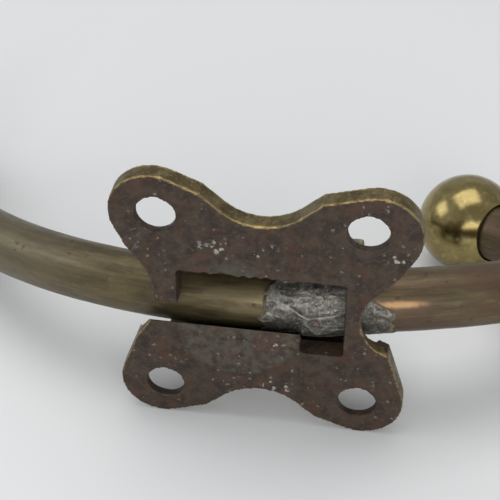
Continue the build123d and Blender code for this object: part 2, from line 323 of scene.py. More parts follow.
def blendColour(tree, factor, a, b):
    made = put(tree, "ShaderNodeMix", data_type="RGBA", blend_type="MIX")
    for key, value in ((0, factor), (6, a), (7, b)):
        if isinstance(value, bpy.types.NodeSocket):
            tree.links.new(value, made.inputs[key])
        elif key == 0:
            made.inputs[key].default_value = value
        else:
            made.inputs[key].default_value = (*value, 1)
    return made.outputs[2]


def noise(tree, place, size, detail=4.0, roughness=0.55):
    # features of about size, in the units of place
    sockets = {"Vector": place, "Scale": 1 / size, "Detail": detail, "Roughness": roughness}
    return put(tree, "ShaderNodeTexNoise", sockets).outputs["Fac"]


def stretched(tree, place, scale, turn=(0, 0, 0), shift=(0, 0, 0)):
    made = put(tree, "ShaderNodeMapping",
               {"Vector": place, "Scale": scale, "Rotation": [radians(t) for t in turn], "Location": shift})
    return made.outputs["Vector"]


socketKinds = {"value": "NodeSocketFloat", "colour": "NodeSocketColor", "vector": "NodeSocketVector"}


def newGroup(name, inputs, outputs):
    # inputs rows are (name, kind, default); outputs rows are (name, kind)
    group = bpy.data.node_groups.new(name, "ShaderNodeTree")
    for label, kind, default in inputs:
        made = group.interface.new_socket(label, in_out="INPUT", socket_type=socketKinds[kind])
        if default is not None:
            made.default_value = default
    for label, kind in outputs:
        group.interface.new_socket(label, in_out="OUTPUT", socket_type=socketKinds[kind])
    return group, group.nodes.new("NodeGroupInput").outputs, group.nodes.new("NodeGroupOutput").inputs


def wire(tree, source, target):
    tree.links.new(source, target)


def useGroup(tree, group, sockets):
    made = tree.nodes.new("ShaderNodeGroup")
    made.node_tree = group
    for key, value in sockets.items():
        if isinstance(value, bpy.types.NodeSocket):
            tree.links.new(value, made.inputs[key])
        elif isinstance(value, tuple) and made.inputs[key].type == "RGBA" and len(value) == 3:
            made.inputs[key].default_value = (*value, 1)
        else:
            made.inputs[key].default_value = value
    return made.outputs


def makeTarnish():
    # three tones mixed by two sizes of cloudy noise
    group, gin, gout = newGroup(
        "tarnish",
        [("Place", "vector", None), ("Size", "value", 3.0), ("Deep", "colour", None),
         ("Middle", "colour", None), ("Pale", "colour", None), ("Pale Amount", "value", 0.5)],
        [("Colour", "colour"), ("Mask", "value")])
    scale = maths(group, "DIVIDE", 1.0, gin["Size"])
    broad = put(group, "ShaderNodeTexNoise",
                {"Vector": gin["Place"], "Scale": scale, "Detail": 5.0, "Roughness": 0.62, "Distortion": 0.4})
    fine = put(group, "ShaderNodeTexNoise",
               {"Vector": gin["Place"], "Scale": maths(group, "MULTIPLY", scale, 3.7), "Detail": 4.0,
                "Roughness": 0.6, "Distortion": 0.2})
    low = spread(group, broad.outputs["Fac"], 0.36, 0.64)
    first = blendColour(group, low, (0, 0, 0), (0, 0, 0))
    mixNode = first.node
    wire(group, gin["Deep"], mixNode.inputs[6])
    wire(group, gin["Middle"], mixNode.inputs[7])
    high = maths(group, "MULTIPLY", spread(group, fine.outputs["Fac"], 0.5, 0.72), gin["Pale Amount"])
    second = blendColour(group, high, first, gin["Pale"])
    wire(group, second, gout["Colour"])
    wire(group, low, gout["Mask"])
    return group


def makeSpecks():
    # scattered irregular flecks: random cells whose warped centre distance is small
    group, gin, gout = newGroup(
        "specks",
        [("Place", "vector", None), ("Size", "value", 1.0), ("Cover", "value", 0.2), ("Reach", "value", 0.3)],
        [("Mask", "value")])
    scale = maths(group, "DIVIDE", 1.0, gin["Size"])
    warp = put(group, "ShaderNodeTexNoise",
               {"Vector": gin["Place"], "Scale": maths(group, "MULTIPLY", scale, 2.6), "Detail": 3.0})
    shift = vectorMaths(group, "SUBTRACT", warp.outputs["Color"], (0.5, 0.5, 0.5))
    shift = vectorMaths(group, "SCALE", shift, gin["Size"])
    place = vectorMaths(group, "ADD", gin["Place"], shift)
    cells = put(group, "ShaderNodeTexVoronoi", {"Vector": place, "Scale": scale})
    chance = put(group, "ShaderNodeSeparateColor", {"Color": cells.outputs["Color"]}).outputs[0]
    chosen = maths(group, "LESS_THAN", chance, gin["Cover"])
    inner = maths(group, "MULTIPLY", gin["Reach"], 0.55)
    near = spread(group, cells.outputs["Distance"], inner, gin["Reach"], (1.0, 0.0))
    wire(group, maths(group, "MULTIPLY", chosen, near), gout["Mask"])
    return group


def makeScratches():
    # thin lines: noise drawn out along the first axis of Place, kept where it crosses its middle value
    group, gin, gout = newGroup(
        "scratches",
        [("Place", "vector", None), ("Across", "value", 0.35), ("Length", "value", 9.0),
         ("Width", "value", 0.03), ("Patchy", "value", 5.0)],
        [("Mask", "value")])
    split = put(group, "ShaderNodeSeparateXYZ", {"Vector": gin["Place"]}).outputs
    drawn = put(group, "ShaderNodeCombineXYZ", {
        "X": maths(group, "DIVIDE", split[0], gin["Length"]),
        "Y": maths(group, "DIVIDE", split[1], gin["Across"]),
        "Z": maths(group, "DIVIDE", split[2], gin["Across"])}).outputs[0]
    lines = put(group, "ShaderNodeTexNoise",
                {"Vector": drawn, "Scale": 1.0, "Detail": 1.0, "Distortion": 0.15})
    off = maths(group, "ABSOLUTE", maths(group, "SUBTRACT", lines.outputs["Fac"], 0.5))
    line = spread(group, off, 0.0, gin["Width"], (1.0, 0.0))
    patchScale = maths(group, "DIVIDE", 1.0, gin["Patchy"])
    patches = put(group, "ShaderNodeTexNoise", {"Vector": gin["Place"], "Scale": patchScale, "Detail": 3.0})
    kept = spread(group, patches.outputs["Fac"], 0.5, 0.68)
    wire(group, maths(group, "MULTIPLY", line, kept), gout["Mask"])
    return group


def makeStain():
    # one ragged oval: distance from Middle measured in Radii, its rim broken by noise
    group, gin, gout = newGroup(
        "stain",
        [("Place", "vector", None), ("Middle", "vector", None), ("Radii", "vector", (1, 1, 1)),
         ("Ragged", "value", 0.3), ("Grain", "value", 1.5), ("Soft", "value", 0.25)],
        [("Mask", "value")])
    off = vectorMaths(group, "SUBTRACT", gin["Place"], gin["Middle"])
    off = vectorMaths(group, "DIVIDE", off, gin["Radii"])
    distance = put(group, "ShaderNodeVectorMath", {0: off}, operation="LENGTH").outputs["Value"]
    rough = put(group, "ShaderNodeTexNoise",
                {"Vector": gin["Place"], "Scale": maths(group, "DIVIDE", 1.0, gin["Grain"]), "Detail": 5.0,
                 "Roughness": 0.65})
    broken = maths(group, "MULTIPLY", maths(group, "SUBTRACT", rough.outputs["Fac"], 0.5), gin["Ragged"])
    total = maths(group, "ADD", distance, maths(group, "MULTIPLY", broken, 2.0))
    mask = spread(group, total, maths(group, "SUBTRACT", 1.0, gin["Soft"]), 1.0, (1.0, 0.0))
    wire(group, mask, gout["Mask"])
    return group


def makeCastSkin():
    # height of a sand-cast skin: grainy noise with small round pits
    group, gin, gout = newGroup(
        "castSkin",
        [("Place", "vector", None), ("Grain", "value", 0.5), ("Pit Size", "value", 0.8),
         ("Pits", "value", 0.5)],
        [("Height", "value"), ("Pit Mask", "value")])
    grain = put(group, "ShaderNodeTexNoise",
                {"Vector": gin["Place"], "Scale": maths(group, "DIVIDE", 1.0, gin["Grain"]), "Detail": 6.0,
                 "Roughness": 0.7})
    cells = put(group, "ShaderNodeTexVoronoi",
                {"Vector": gin["Place"], "Scale": maths(group, "DIVIDE", 1.0, gin["Pit Size"])})
    chance = put(group, "ShaderNodeSeparateColor", {"Color": cells.outputs["Color"]}).outputs[0]
    pit = maths(group, "MULTIPLY", spread(group, cells.outputs["Distance"], 0.12, 0.34, (1.0, 0.0)),
                maths(group, "LESS_THAN", chance, gin["Pits"]))
    pitDepth = maths(group, "MULTIPLY", pit, 0.55)
    wire(group, maths(group, "SUBTRACT", grain.outputs["Fac"], pitDepth), gout["Height"])
    wire(group, pit, gout["Pit Mask"])
    return group


tarnish, specks, scratches = makeTarnish(), makeSpecks(), makeScratches()
stain, castSkin = makeStain(), makeCastSkin()
print("shader groups built")


def newMaterial(name):
    material = bpy.data.materials.new(name)
    material.use_nodes = True
    tree = material.node_tree
    tree.nodes.clear()
    shader = tree.nodes.new("ShaderNodeBsdfPrincipled")
    wire(tree, shader.outputs[0], tree.nodes.new("ShaderNodeOutputMaterial").inputs[0])
    objectPlace = tree.nodes.new("ShaderNodeTexCoord").outputs["Object"]
    place = vectorMaths(tree, "SCALE", objectPlace, 1 / mm)  # object coordinates in mm
    return material, tree, shader, place


def bump(tree, shader, height, strength, distance):
    made = put(tree, "ShaderNodeBump", {"Height": height, "Strength": strength, "Distance": distance * mm})
    wire(tree, made.outputs[0], shader.inputs["Normal"])


def edgeValue(tree):
    return put(tree, "ShaderNodeAttribute", attribute_name="edge").outputs["Fac"]


castFinish = {
    "deep": (0.026, 0.016, 0.011),
    "middle": (0.056, 0.037, 0.024),
    "pale": (0.088, 0.062, 0.040),
    "red": (0.078, 0.034, 0.020),
    "brassDeep": (0.085, 0.062, 0.028),
    "brassMiddle": (0.165, 0.128, 0.060),
    "brassPale": (0.30, 0.235, 0.115),
    "edgeBrass": (0.40, 0.30, 0.13),
    "smear": (0.088, 0.084, 0.066),
    "white": (0.36, 0.35, 0.31),
    "blue": (0.22, 0.27, 0.28),
    "grain": 0.45,
    "redShift": (7, 3, 5),
    "lineTurn": (8, 24, 12),
    "earLineTurn": (0, 52, 0),
}
# ragged ovals on the back: middle mm, radii mm, raggedness, grain mm, softness of the rim
castMarks = {
    "backSmear": ((-3.4, 0.0, -4.0), (9.2, 3.0, 8.9), 0.13, 2.4, 0.07),
    "slotSmear": ((-3.6, 0.0, 7.2), (5.2, 1.4, 2.2), 0.9, 1.2, 0.7),
    "redBlotch": ((1.3, 0.0, -5.6), (2.7, 1.0, 2.1), 0.9, 0.9, 0.35),
    "earScratches": ((-18.8, 0.0, 11.2), (2.6, 1.5, 3.0), 0.5, 1.2, 0.4),
}
fleckBands = [
    ((-2.5, 0.0, 11.2), (8.0, 2.0, 2.3), 0.5, 2.0, 0.5),
    ((1.0, 0.0, -14.4), (8.6, 2.0, 1.8), 0.5, 2.0, 0.5),
    ((19.2, 0.0, 11.8), (2.0, 1.5, 1.9), 0.5, 1.0, 0.5),
    ((1.4, 0.0, -5.6), (3.6, 1.0, 1.9), 0.5, 1.0, 0.5),
]


def ragged(tree, place, middle, radii, raggedness, grain, soft):
    return useGroup(tree, stain, {"Place": place, "Middle": middle, "Radii": radii, "Ragged": raggedness,
                                  "Grain": grain, "Soft": soft})["Mask"]


def faded(tree, mask, share):
    return maths(tree, "MULTIPLY", mask, share)


def castFlecks(tree, place):
    # small flecks all over, larger ones only inside the bands
    small = useGroup(tree, specks, {"Place": place, "Size": 0.8, "Cover": 0.13, "Reach": 0.33})["Mask"]
    dense = ragged(tree, place, *fleckBands[0])
    for band in fleckBands[1:]:
        dense = maths(tree, "MAXIMUM", dense, ragged(tree, place, *band))
    shifted = stretched(tree, place, (1, 1, 1), shift=(3, 1, 8))
    large = useGroup(tree, specks, {"Place": shifted, "Size": 1.25, "Cover": 0.75, "Reach": 0.36})["Mask"]
    return maths(tree, "MAXIMUM", faded(tree, small, 0.4), maths(tree, "MULTIPLY", large, dense))


def castLines(tree, place, turn, across, length, width, patchy):
    turnedPlace = stretched(tree, place, (1, 1, 1), turn)
    return useGroup(tree, scratches, {"Place": turnedPlace, "Across": across, "Length": length,
                                      "Width": width, "Patchy": patchy})["Mask"]


def makeCastBrass():
    s, marks = castFinish, castMarks
    material, tree, shader, place = newMaterial("agedCastBrass")
    tone = useGroup(tree, tarnish, {"Place": place, "Size": 2.6, "Deep": s["deep"], "Middle": s["middle"],
                                    "Pale": s["pale"], "Pale Amount": 0.7})
    colour = tone["Colour"]
    redPlace = stretched(tree, place, (1, 1, 1), shift=s["redShift"])
    red = spread(tree, noise(tree, redPlace, 3.4, 5), 0.50, 0.66)
    colour = blendColour(tree, faded(tree, red, 0.6), colour, s["red"])
    # rubbed smears left on the back by old fixings
    smearCloud = spread(tree, noise(tree, place, 1.2, 5), 0.34, 0.66, (0.0, 0.7))
    smear = maths(tree, "MULTIPLY", ragged(tree, place, *marks["backSmear"]), smearCloud)
    colour = blendColour(tree, smear, colour, s["smear"])
    slotSmear = faded(tree, ragged(tree, place, *marks["slotSmear"]), 0.5)
    colour = blendColour(tree, slotSmear, colour, s["smear"])
    blotch = ragged(tree, place, *marks["redBlotch"])
    colour = blendColour(tree, faded(tree, blotch, 0.5), colour, s["red"])
    # whitish flecks, denser in bands, and pale scratches, bluish by one ear
    flecks = castFlecks(tree, place)
    colour = blendColour(tree, faded(tree, flecks, 0.8), colour, s["white"])
    lines = castLines(tree, place, s["lineTurn"], 0.8, 7.0, 0.02, 4.0)
    colour = blendColour(tree, faded(tree, lines, 0.45), colour, s["pale"])
    earLines = castLines(tree, place, s["earLineTurn"], 0.55, 2.6, 0.10, 1.4)
    earLines = maths(tree, "MULTIPLY", earLines, ragged(tree, place, *marks["earScratches"]))
    colour = blendColour(tree, faded(tree, earLines, 0.8), colour, s["blue"])
    # away from the back the metal is handled brass, brightest where its edges are rubbed; inside the slot,
    # screw holes, bore and gap the dark tone stays as painted shade
    brass = useGroup(tree, tarnish, {"Place": place, "Size": 2.2, "Deep": s["brassDeep"],
                                     "Middle": s["brassMiddle"], "Pale": s["brassPale"],
                                     "Pale Amount": 0.5})["Colour"]
    # this attribute is 0 on the tarnished back, and also 0 inside the slot, screw holes, bore and gap, where
    # the dark tone is painted shade
    exposedNotShaded = put(tree, "ShaderNodeAttribute", attribute_name="exposedNotShaded").outputs["Fac"]
    uneven = faded(tree, maths(tree, "SUBTRACT", tone["Mask"], 0.5), 0.25)
    exposedNotShaded = spread(tree, maths(tree, "ADD", exposedNotShaded, uneven), 0.35, 0.65)
    colour = blendColour(tree, exposedNotShaded, colour, brass)
    skin = useGroup(tree, castSkin, {"Place": place, "Grain": s["grain"], "Pit Size": 0.9, "Pits": 0.35})
    # rubbed edges, weighted toward upward-facing ones: real wear plus a painted highlight on the top edges
    rubAndSheen = put(tree, "ShaderNodeAttribute", attribute_name="rubAndSheen").outputs["Fac"]
    rub = maths(tree, "MULTIPLY", spread(tree, edgeValue(tree), 0.60, 0.84), rubAndSheen)
    rubCloud = spread(tree, noise(tree, place, 1.2, 5, 0.65), 0.34, 0.62, (0.1, 1.0))
    rub = maths(tree, "MULTIPLY", rub, rubCloud)
    colour = blendColour(tree, rub, colour, s["edgeBrass"])
    colour = blendColour(tree, faded(tree, skin["Pit Mask"], 0.5), colour, s["deep"])
    wire(tree, colour, shader.inputs["Base Color"])
    metal = maths(tree, "MAXIMUM", spread(tree, exposedNotShaded, 0, 1, (0.35, 0.85)), rub)
    wire(tree, maths(tree, "SUBTRACT", metal, faded(tree, flecks, 0.4)), shader.inputs["Metallic"])
    rough = spread(tree, noise(tree, place, 1.7, 4), 0.3, 0.7, (0.46, 0.68))
    smoother = faded(tree, maths(tree, "MAXIMUM", rub, exposedNotShaded), 0.12)
    wire(tree, maths(tree, "SUBTRACT", rough, smoother), shader.inputs["Roughness"])
    bump(tree, shader, maths(tree, "ADD", skin["Height"], faded(tree, flecks, 0.18)), 0.5, 0.14)
    return material


barFinish = {
    "deep": (0.070, 0.052, 0.026),
    "middle": (0.118, 0.092, 0.046),
    "pale": (0.185, 0.150, 0.080),
    "grey": (0.150, 0.132, 0.092),
    "red": (0.098, 0.058, 0.038),
    "spot": (0.040, 0.022, 0.020),
    "light": (0.36, 0.27, 0.12),
    # bright orange colour of a painted highlight along the bar
    "rubAndSheen": (0.46, 0.27, 0.13),
    "highlightMiddle": (18.5, 4.5, 1.2),  # on the straightened bar, mm
    "highlightRadii": (5.0, 2.0, 0.75),
}


def makeBarBrass():
    # the bar's own straightened coordinates, in mm, keep the drawing lines along it
    s = barFinish
    material, tree, shader, place = newMaterial("drawnBarBrass")
    straight = put(tree, "ShaderNodeAttribute", attribute_name="straight").outputs["Vector"]
    colour = useGroup(tree, tarnish, {"Place": stretched(tree, straight, (0.28, 1, 1)), "Size": 2.4,
                                      "Deep": s["deep"], "Middle": s["middle"], "Pale": s["pale"],
                                      "Pale Amount": 0.35})["Colour"]
    lengthwise = noise(tree, stretched(tree, straight, (0.05, 1.6, 1.6)), 1.0, 5, 0.6)
    colour = blendColour(tree, spread(tree, lengthwise, 0.42, 0.66, (0.0, 0.3)), colour, s["pale"])
    split = put(tree, "ShaderNodeSeparateXYZ", {"Vector": place}).outputs
    leftward = spread(tree, split[0], -22.0, -52.0)
    colour = blendColour(tree, maths(tree, "MULTIPLY", leftward, 0.6), colour, s["grey"])
    rightward = maths(tree, "MULTIPLY", spread(tree, split[0], 10.0, 22.0),
                      spread(tree, noise(tree, stretched(tree, straight, (0.35, 1, 1)), 3.2, 5), 0.35, 0.6))
    colour = blendColour(tree, maths(tree, "MULTIPLY", rightward, 0.8), colour, s["red"])
    spots = useGroup(tree, specks, {"Place": straight, "Size": 1.5, "Cover": 0.22, "Reach": 0.26})["Mask"]
    colour = blendColour(tree, maths(tree, "MULTIPLY", spots, 0.35), colour, s["spot"])
    lines = useGroup(tree, scratches, {"Place": straight, "Across": 0.45, "Length": 14.0, "Width": 0.030,
                                       "Patchy": 6.0})["Mask"]
    colour = blendColour(tree, maths(tree, "MULTIPLY", lines, 0.28), colour, s["light"])
    # painted highlight: an orange streak on the side of the bar facing the view, right of the bracket
    paintedHighlight = ragged(tree, straight, s["highlightMiddle"], s["highlightRadii"], 0.35, 1.2, 0.8)
    colour = blendColour(tree, maths(tree, "MULTIPLY", paintedHighlight, 0.85), colour, s["rubAndSheen"])
    wire(tree, colour, shader.inputs["Base Color"])
    shader.inputs["Metallic"].default_value = 0.6
    rough = spread(tree, noise(tree, stretched(tree, straight, (0.2, 1, 1)), 1.6, 5), 0.3, 0.7, (0.34, 0.52))
    rough = maths(tree, "ADD", rough, maths(tree, "MULTIPLY", spots, 0.2))
    wire(tree, rough, shader.inputs["Roughness"])
    height = maths(tree, "ADD", noise(tree, stretched(tree, straight, (0.25, 1, 1)), 0.8, 6, 0.65),
                   maths(tree, "MULTIPLY", lines, -0.35))
    bump(tree, shader, height, 0.20, 0.08)
    return material


def makeTurnedBrass(name, deep, middle, pale, rough=(0.25, 0.45), size=2.2, metallic=0.95, relief=0.25):
    # plain brass with cloudy tarnish, rubbed bright on its edges
    material, tree, shader, place = newMaterial(name)
    colour = useGroup(tree, tarnish, {"Place": place, "Size": size, "Deep": deep, "Middle": middle,
                                      "Pale": pale, "Pale Amount": 0.6})["Colour"]
    spots = useGroup(tree, specks, {"Place": place, "Size": 0.9, "Cover": 0.2, "Reach": 0.3})["Mask"]
    colour = blendColour(tree, maths(tree, "MULTIPLY", spots, 0.45), colour, deep)
    lines = castLines(tree, place, (30, 15, 40), 0.6, 6.0, 0.03, 3.0)
    colour = blendColour(tree, maths(tree, "MULTIPLY", lines, 0.5), colour, pale)
    rub = maths(tree, "MULTIPLY", spread(tree, edgeValue(tree), 0.55, 0.8),
                spread(tree, noise(tree, place, 1.0, 5), 0.3, 0.6))
    colour = blendColour(tree, maths(tree, "MULTIPLY", rub, 0.8), colour, pale)
    wire(tree, colour, shader.inputs["Base Color"])
    shader.inputs["Metallic"].default_value = metallic
    wire(tree, spread(tree, noise(tree, place, size * 0.6, 4), 0.3, 0.7, rough), shader.inputs["Roughness"])
    height = maths(tree, "SUBTRACT", noise(tree, place, 0.6, 6, 0.65), maths(tree, "MULTIPLY", lines, 0.3))
    bump(tree, shader, height, relief, 0.10)
    return material


linerFinish = {
    "deep": (0.070, 0.064, 0.055),
    "middle": (0.135, 0.129, 0.112),
    "pale": (0.29, 0.28, 0.25),
    # dark colour for grime specks and for painted shade in the crease
    "dirtAndShade": (0.060, 0.045, 0.035),
    "pink": (0.30, 0.13, 0.11),
    "pinkMiddle": (7.9, 2.2, -2.9),  # mm
    "pinkRadii": (0.55, 1.2, 0.5),
    "brassy": (0.17, 0.13, 0.07),
}


def makeWhiteMetal():
    s = linerFinish
    material, tree, shader, place = newMaterial("crumpledWhiteMetal")
    tone = useGroup(tree, tarnish, {"Place": place, "Size": 1.5, "Deep": s["deep"], "Middle": s["middle"],
                                    "Pale": s["pale"], "Pale Amount": 0.85})
    colour = tone["Colour"]
    # the fold attribute paints shade and highlight: paler on ridges and the fold, darker in the crease
    fold = put(tree, "ShaderNodeAttribute", attribute_name="fold").outputs["Fac"]
    colour = blendColour(tree, spread(tree, fold, 0.62, 0.95, (0.0, 0.6)), colour, s["pale"])
    colour = blendColour(tree, spread(tree, fold, 0.36, 0.08, (0.0, 0.75)), colour, s["dirtAndShade"])
    grime = useGroup(tree, specks, {"Place": place, "Size": 0.8, "Cover": 0.4, "Reach": 0.36})["Mask"]
    colour = blendColour(tree, maths(tree, "MULTIPLY", grime, 0.45), colour, s["dirtAndShade"])
    pink = ragged(tree, place, s["pinkMiddle"], s["pinkRadii"], 0.4, 0.5, 0.5)
    colour = blendColour(tree, maths(tree, "MULTIPLY", pink, 0.45), colour, s["pink"])
    thin = put(tree, "ShaderNodeAttribute", attribute_name="rim").outputs["Fac"]
    thinning = maths(tree, "MULTIPLY", thin, spread(tree, noise(tree, place, 0.8, 5), 0.35, 0.6))
    colour = blendColour(tree, thinning, colour, s["brassy"])
    wire(tree, colour, shader.inputs["Base Color"])
    wire(tree, spread(tree, tone["Mask"], 0, 1, (0.45, 0.8)), shader.inputs["Metallic"])
    wire(tree, spread(tree, noise(tree, place, 0.9, 5), 0.3, 0.7, (0.28, 0.55)), shader.inputs["Roughness"])
    skin = useGroup(tree, castSkin, {"Place": place, "Grain": 0.35, "Pit Size": 0.6, "Pits": 0.4})
    bump(tree, shader, skin["Height"], 0.5, 0.14)
    return material


castBrass, barBrass, whiteMetal = makeCastBrass(), makeBarBrass(), makeWhiteMetal()
turnedFinishes = {
    # name: deep, middle, pale, roughness range, cloud size mm, metallic, relief
    "turnedBallBrass": ((0.21, 0.165, 0.065), (0.31, 0.25, 0.105), (0.42, 0.35, 0.17),
                        (0.18, 0.25), 6.0, 0.95, 0.06),
    "plainBrass": ((0.09, 0.062, 0.026), (0.20, 0.145, 0.058), (0.40, 0.30, 0.13)),
    "wornPlateBrass": ((0.045, 0.030, 0.018), (0.11, 0.078, 0.036), (0.30, 0.21, 0.085),
                       (0.34, 0.58), 3.0, 0.85, 0.45),
    "handledBrass": ((0.06, 0.040, 0.018), (0.15, 0.108, 0.043), (0.38, 0.28, 0.11),
                     (0.28, 0.5), 2.4, 0.9, 0.35),
    "bushBronze": ((0.085, 0.045, 0.024), (0.18, 0.10, 0.052), (0.34, 0.21, 0.11)),
}
ballBrass, plainBrass, wornBrass, headBrass, bronze = [
    makeTurnedBrass(name, *settings) for name, settings in turnedFinishes.items()]
print("finishes built")


bracketSettings = {
    "voxel": 0.26,
    "passes": 2,
    "swell": 0.10,
    "grain": 0.04,
    "swellSize": 4.5,
    "grainSize": 0.9,
    "burr": 0.55,
    "burrReach": (0.5, 0.7),  # up from the slot's edge, and in from the back
    "burrFrom": (-10.5, -9.0),
    "burrTo": (2.0, 10.5),
    "slotTop": 6.4,
    "slot": (12.6, -7.6, 6.9, 5.0),  # half width, low, high, depth
    "holes": (14.6, 16.0, 3.25),  # half spacings, radius of the hole wall painted dark as shade
    "bore": (8.1, -2.9, 7.1),  # Y, Z and radius of the inside painted dark as shade
    "gap": (-11.5, -3.6, 0.4, 4.0),  # right end, low, high, depth
    "backDepth": 0.9,
    "rubRounds": 3,
}


def bracketRelief(points, normals):
    # broad swells and fine grain sunk along the normal; a ragged burr along the slot's upper edge
    s = bracketSettings
    depth = s["swell"] * roughSum(points, s["swellSize"], 11)
    depth = depth + s["grain"] * roughSum(points, s["grainSize"], 23)
    moved = -normals * depth[:, None]
    x, y, z = points.T
    up, inFrom = s["burrReach"]
    edge = np.exp(-(((z - s["slotTop"]) / up) ** 2)) * np.exp(-((y / inFrom) ** 2))
    edge = edge * smoothStep(*s["burrFrom"], x)
    edge = edge * (1 - smoothStep(*s["burrTo"], x))
    moved[:, 2] += s["burr"] * edge * (2 * lumps(points * [1, 0.2, 0.2], 0.8, 5) - 0.9)
    return moved


bracket = castCopy("frame_bracket", "frameCasting", bracketSettings["voxel"], bracketSettings["passes"],
                   bracketRelief)


def exposureAndShade(points, normals):
    # 1 on the outline, front and barrel; 0 on the flat back, for its tarnish, and 0 inside the slot, screw
    # holes, bore and gap, as painted shade
    s = bracketSettings
    x, y, z = points.T
    back = smoothStep(0.45, 0.8, -normals[:, 1]) * (y < s["backDepth"])
    half, low, high, depth = s["slot"]
    inSlot = (np.abs(x) < half) & (z > low) & (z < high) & (y < depth)
    holeX, holeZ, holeR = s["holes"]
    inHole = np.hypot(np.abs(x) - holeX, np.abs(z) - holeZ) < holeR
    boreY, boreZ, boreR = s["bore"]
    inBore = np.hypot(y - boreY, z - boreZ) < boreR
    gapEnd, gapLow, gapHigh, gapDepth = s["gap"]
    inGap = (x < gapEnd) & (z > gapLow) & (z < gapHigh) & (y < gapDepth)
    return 1 - np.maximum(back, inSlot | inHole | inBore | inGap)


bracketPoints, bracketEdges = readPoints(bracket.data), readEdges(bracket.data)
bracketNormals = readNormals(bracket.data)
# 0 on the tarnished back; 0 inside the slot, holes, bore and gap as painted shade
exposedNotShaded = exposureAndShade(bracketPoints, bracketNormals)
rubAndSheen = exposedNotShaded[:, None]
for _ in range(bracketSettings["rubRounds"]):
    rubAndSheen = np.maximum(rubAndSheen, neighbourMean(rubAndSheen, bracketEdges))
# upward-facing edges get more of the bright edge brass: a painted highlight on the top edges
topSheen = 0.25 + 0.75 * smoothStep(0.0, 0.5, bracketNormals[:, 2])
storeScalar(bracket.data, "exposedNotShaded", exposedNotShaded)
storeScalar(bracket.data, "rubAndSheen", np.clip(rubAndSheen[:, 0] * 1.6, 0, 1) * topSheen)
bracket.data.materials.append(castBrass)
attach(bracket, "frame")
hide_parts("frame_bracket")
print("frame casting:", len(bracket.data.polygons), "faces")


armSettings = {
    "radius": 4.75,
    "leftArc": 44.0,
    "rightArc": 25.8,
    "tail": 20.0,
    "seatFrom": 9.0,  # the eye's socket starts this far from the pivot
    "crookRadius": 15.0,
    "crookTurn": 112.5,
    "neck": 9.4,
    "seatGap": 5.6,
    "step": 0.55,
    "dent": 0.07,
    "swell": (0.6, 4.0),  # share of the dent, size mm
    "knock": (0.4, 2.6),
    "ballRadius": 8.5,
    "around": 80,
}
axisPoint = np.array(joints["arm_roll"]["pos_m"]) / mm
along = unit(joints["arm_roll"]["axis"])
arcCentre = np.array(joints["arm_slide"]["pos_m"]) / mm
upFromArm = unit(joints["arm_slide"]["axis"])
inward = unit(arcCentre - axisPoint)
arcRadius = np.linalg.norm(arcCentre - axisPoint)


def inArmPlane(x, y):
    # a point of the arm's plane, x along the barrel and y toward the room, in space
    return axisPoint + np.multiply.outer(x, along) + np.multiply.outer(y, inward)


def armRoute(step):
    # tail, main arc, crook and neck as evenly spaced points and headings in the arm's plane
    s = armSettings
    headingStart = -radians(s["leftArc"])
    lengths = [s["tail"] - s["seatFrom"], arcRadius * radians(s["leftArc"] + s["rightArc"]),
               s["crookRadius"] * radians(s["crookTurn"]), s["neck"] - s["seatGap"]]
    curvature = [0, 1 / arcRadius, 1 / s["crookRadius"], 0]
    ends = np.cumsum([0, *lengths])
    run = np.unique(np.concatenate([np.linspace(a, b, max(int((b - a) / step), 2) + 1)
                                    for a, b in zip(ends[:-1], ends[1:])]))
    middle = (run[1:] + run[:-1]) / 2
    bend = np.array(curvature)[np.clip(np.searchsorted(ends, middle) - 1, 0, 3)]
    headings = headingStart + np.concatenate([[0], np.cumsum(bend * np.diff(run))])
    halfway = (headings[1:] + headings[:-1]) / 2
    turn = bend * np.diff(run) / 2
    chord = np.diff(run) * np.where(turn == 0, 1, np.sin(turn) / np.where(turn == 0, 1, turn))
    x = np.concatenate([[0], np.cumsum(chord * np.cos(halfway))])
    y = np.concatenate([[0], np.cumsum(chord * np.sin(halfway))])
    left = radians(s["leftArc"])
    x += -arcRadius * sin(left) - lengths[0] * cos(left)
    y += arcRadius * (1 - cos(left)) + lengths[0] * sin(left)
    return run, x, y, headings


run, routeX, routeY, routeHeading = armRoute(armSettings["step"])
middles = inArmPlane(routeX, routeY)
outward = -(np.multiply.outer(-np.sin(routeHeading), along) + np.multiply.outer(np.cos(routeHeading), inward))
angle = np.linspace(0, 2 * pi, armSettings["around"], endpoint=False)
zero = run[np.argmin(np.abs(routeX))]
straight = np.stack([np.repeat((run - zero)[:, None], len(angle), 1),
                     np.repeat((armSettings["radius"] * np.cos(angle))[None], len(run), 0),
                     np.repeat((armSettings["radius"] * np.sin(angle))[None], len(run), 0)], -1)
flatStraight = straight.reshape(-1, 3)
swellShare, swellSize = armSettings["swell"]
knockShare, knockSize = armSettings["knock"]
sink = swellShare * roughSum(flatStraight * [0.35, 1, 1], swellSize, 41)
sink = sink + knockShare * smoothStep(0.62, 0.8, lumps(flatStraight, knockSize, 47))
radius = armSettings["radius"] - armSettings["dent"] * sink.reshape(len(run), -1)
cosine, sine = np.cos(angle)[None, :, None], np.sin(angle)[None, :, None]
normalsAround = cosine * outward[:, None, :] + sine * upFromArm
barMesh = closedTube("bentBar", middles[:, None, :] + radius[..., None] * normalsAround)
capMiddles = [straight[0].mean(0)[None], straight[-1].mean(0)[None]]
storeVector(barMesh, "straight", np.concatenate([flatStraight, *capMiddles]))
bar = meshObject("bentBar", barMesh)
bar.data.materials.append(barBrass)
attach(bar, "arm")
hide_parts("arm_rod")

neckDirection = unit(cos(routeHeading[-1]) * along + sin(routeHeading[-1]) * inward)
ballCentre = middles[-1] + neckDirection * armSettings["seatGap"]

